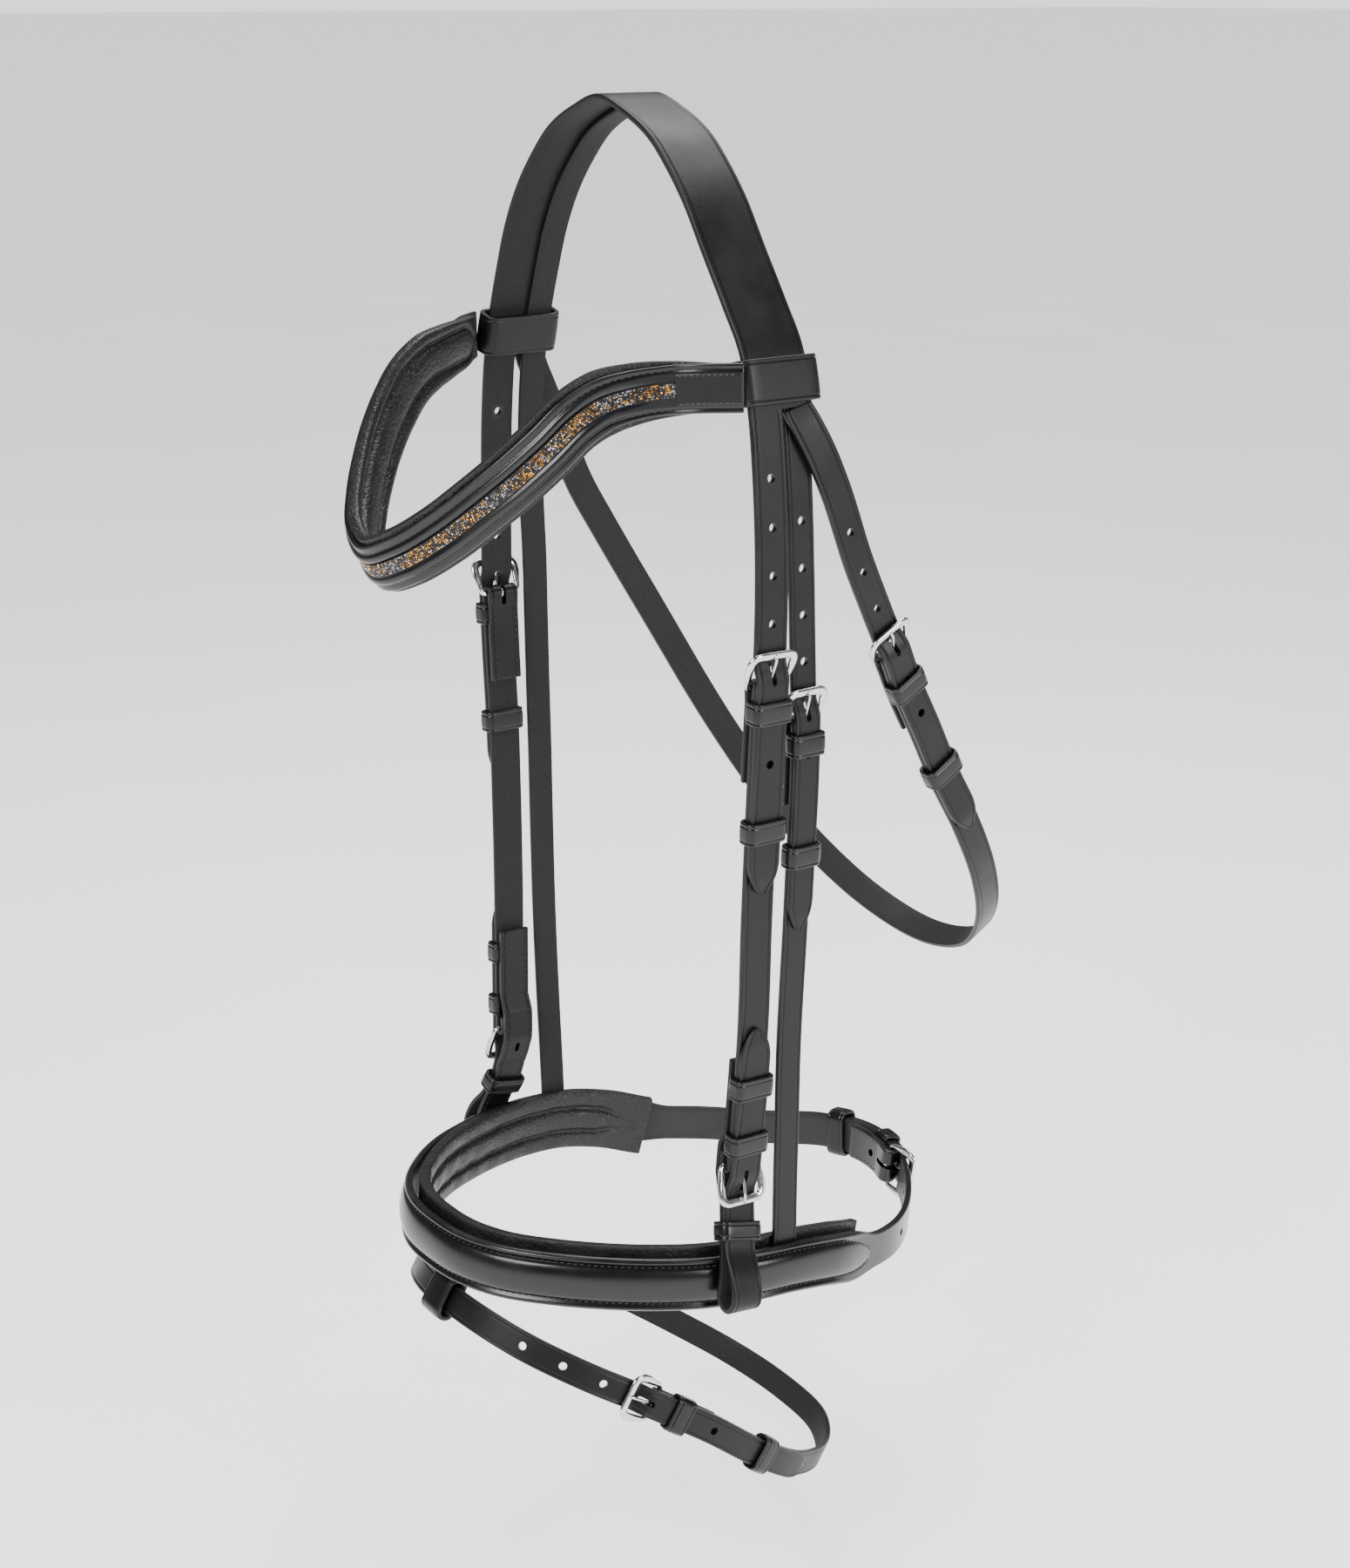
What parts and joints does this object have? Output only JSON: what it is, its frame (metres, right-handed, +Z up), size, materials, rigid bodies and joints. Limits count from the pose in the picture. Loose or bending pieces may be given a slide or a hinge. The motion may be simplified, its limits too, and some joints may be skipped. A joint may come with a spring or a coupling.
{
  "type": "snaffle bridle",
  "caption": "Leather snaffle bridle with a padded wave browband set with a crystal strip, a padded noseband with a flash strap, and buckled cheekpieces with open loops for a bit.",
  "frame": {"origin": "under the middle of the sliphead, where the bridle rests on the poll", "axes": "+Z up, -Y the front of the horse's head, +X its near (left) side, where the sliphead and throatlatch buckle"},
  "size_m": [0.2318, 0.3228, 0.6574],
  "materials": {
    "black_leather": "satin black leather, matt on its flesh side",
    "soft_lining": "soft wrinkled black leather over padding",
    "polished_steel": "polished",
    "crystal": "closely set amber and clear cut stones"
  },
  "bodies": {
    "bridle": {"browband": "black_leather", "browband_crystals": "crystal", "browband_loop_near": "black_leather", "browband_loop_off": "black_leather", "browband_padding": "soft_lining", "chin_buckle_frame": "polished_steel", "chin_keeper": "black_leather", "flash_loop": "black_leather", "headpiece": "black_leather", "near_bit_buckle_frame": "polished_steel", "near_bit_keeper_lower": "black_leather", "near_bit_keeper_middle": "black_leather", "near_bit_keeper_upper": "black_leather", "near_bit_strap": "black_leather", "near_cheek_buckle_frame": "polished_steel", "near_cheek_keeper": "black_leather", "near_cheekpiece": "black_leather", "noseband": "black_leather", "noseband_padding": "soft_lining", "off_bit_buckle_frame": "polished_steel", "off_bit_keeper_lower": "black_leather", "off_bit_keeper_middle": "black_leather", "off_bit_keeper_upper": "black_leather", "off_bit_strap": "black_leather", "off_cheek_buckle_frame": "polished_steel", "off_cheek_keeper": "black_leather", "off_cheekpiece": "black_leather", "sliphead": "black_leather", "sliphead_buckle_frame": "polished_steel", "sliphead_keeper": "black_leather", "sliphead_lower": "black_leather"},
    "near_cheek_buckle_tongue": {"near_cheek_buckle_tongue": "polished_steel"},
    "off_cheek_buckle_tongue": {"off_cheek_buckle_tongue": "polished_steel"},
    "near_bit_buckle_tongue": {"near_bit_buckle_tongue": "polished_steel"},
    "off_bit_buckle_tongue": {"off_bit_buckle_tongue": "polished_steel"},
    "sliphead_buckle_tongue": {"sliphead_buckle_tongue": "polished_steel"},
    "throat_buckle_tongue": {"throat_buckle_tongue": "polished_steel"},
    "chin_buckle_tongue": {"chin_buckle_tongue": "polished_steel"},
    "flash_buckle_tongue": {"flash_buckle_tongue": "polished_steel"},
    "near_cheek_runner": {"near_cheek_runner": "black_leather"},
    "off_cheek_runner": {"off_cheek_runner": "black_leather"},
    "sliphead_runner": {"sliphead_runner": "black_leather"},
    "throat_runner": {"throat_runner": "black_leather"},
    "chin_runner": {"chin_runner": "black_leather"},
    "flash_runner": {"flash_runner": "black_leather"},
    "throatlatch": {"throatlatch": "black_leather", "throatlatch_billet": "black_leather", "throat_buckle_frame": "polished_steel", "throat_keeper": "black_leather"},
    "flash": {"flash_strap": "black_leather", "flash_buckle_frame": "polished_steel", "flash_keeper": "black_leather"}
  },
  "joints": [
    {"name": "throatlatch_swing", "type": "hinge", "parent": "bridle", "child": "throatlatch", "pos_m": [0, -0.001, -0.112], "axis": [1, 0, 0], "range_deg": [-4, 4]},
    {"name": "flash_swing", "type": "hinge", "parent": "bridle", "child": "flash", "pos_m": [0, -0.119, -0.527], "axis": [1, 0, 0], "range_deg": [-3, 6]},
    {"name": "chin_buckle_tongue_lift", "type": "hinge", "parent": "bridle", "child": "chin_buckle_tongue", "pos_m": [0.02169, 0.12914, -0.52305], "axis": [0.113, 0.0723, 0.991], "range_deg": [0, 8]},
    {"name": "chin_runner_slide", "type": "slide", "parent": "bridle", "child": "chin_runner", "axis": [0.9597, 0.2672, 0.0872], "range_m": [-0.0035, 0.0035]},
    {"name": "flash_buckle_tongue_lift", "type": "hinge", "parent": "flash", "child": "flash_buckle_tongue", "pos_m": [0.07892, -0.0576, -0.56657], "axis": [0.0028, 0.5489, 0.8359], "range_deg": [0, 8]},
    {"name": "flash_runner_slide", "type": "slide", "parent": "flash", "child": "flash_runner", "axis": [0.1035, -0.7851, 0.6107], "range_m": [-0.005, 0.005]},
    {"name": "near_bit_buckle_tongue_lift", "type": "hinge", "parent": "bridle", "child": "near_bit_buckle_tongue", "pos_m": [0.09444, -0.02184, -0.44951], "axis": [0.0026, -0.9983, 0.0575], "range_deg": [0, 8]},
    {"name": "near_cheek_buckle_tongue_lift", "type": "hinge", "parent": "bridle", "child": "near_cheek_buckle_tongue", "pos_m": [0.10427, -0.01773, -0.22892], "axis": [-0.0009, 0.9999, -0.0149], "range_deg": [0, 8]},
    {"name": "near_cheek_runner_slide", "type": "slide", "parent": "bridle", "child": "near_cheek_runner", "axis": [-0.0531, -0.0026, -0.9986], "range_m": [-0.005, 0.005]},
    {"name": "off_bit_buckle_tongue_lift", "type": "hinge", "parent": "bridle", "child": "off_bit_buckle_tongue", "pos_m": [-0.09444, -0.02184, -0.44951], "axis": [0.0026, 0.9983, -0.0575], "range_deg": [0, 8]},
    {"name": "off_cheek_buckle_tongue_lift", "type": "hinge", "parent": "bridle", "child": "off_cheek_buckle_tongue", "pos_m": [-0.10427, -0.01773, -0.22892], "axis": [-0.0009, -0.9999, 0.0149], "range_deg": [0, 8]},
    {"name": "off_cheek_runner_slide", "type": "slide", "parent": "bridle", "child": "off_cheek_runner", "axis": [0.0531, -0.0026, -0.9986], "range_m": [-0.005, 0.005]},
    {"name": "sliphead_buckle_tongue_lift", "type": "hinge", "parent": "bridle", "child": "sliphead_buckle_tongue", "pos_m": [0.10271, 0.00268, -0.24849], "axis": [0, 1, 0.0084], "range_deg": [0, 8]},
    {"name": "sliphead_runner_slide", "type": "slide", "parent": "bridle", "child": "sliphead_runner", "axis": [-0.0392, -0.0124, -0.9992], "range_m": [-0.005, 0.005]},
    {"name": "throat_buckle_tongue_lift", "type": "hinge", "parent": "throatlatch", "child": "throat_buckle_tongue", "pos_m": [0.09816, 0.05539, -0.22754], "axis": [0.0068, 0.8748, 0.4844], "range_deg": [0, 8]},
    {"name": "throat_runner_slide", "type": "slide", "parent": "throatlatch", "child": "throat_runner", "axis": [-0.0816, 0.51, -0.8563], "range_m": [-0.005, 0.005]}
  ]
}
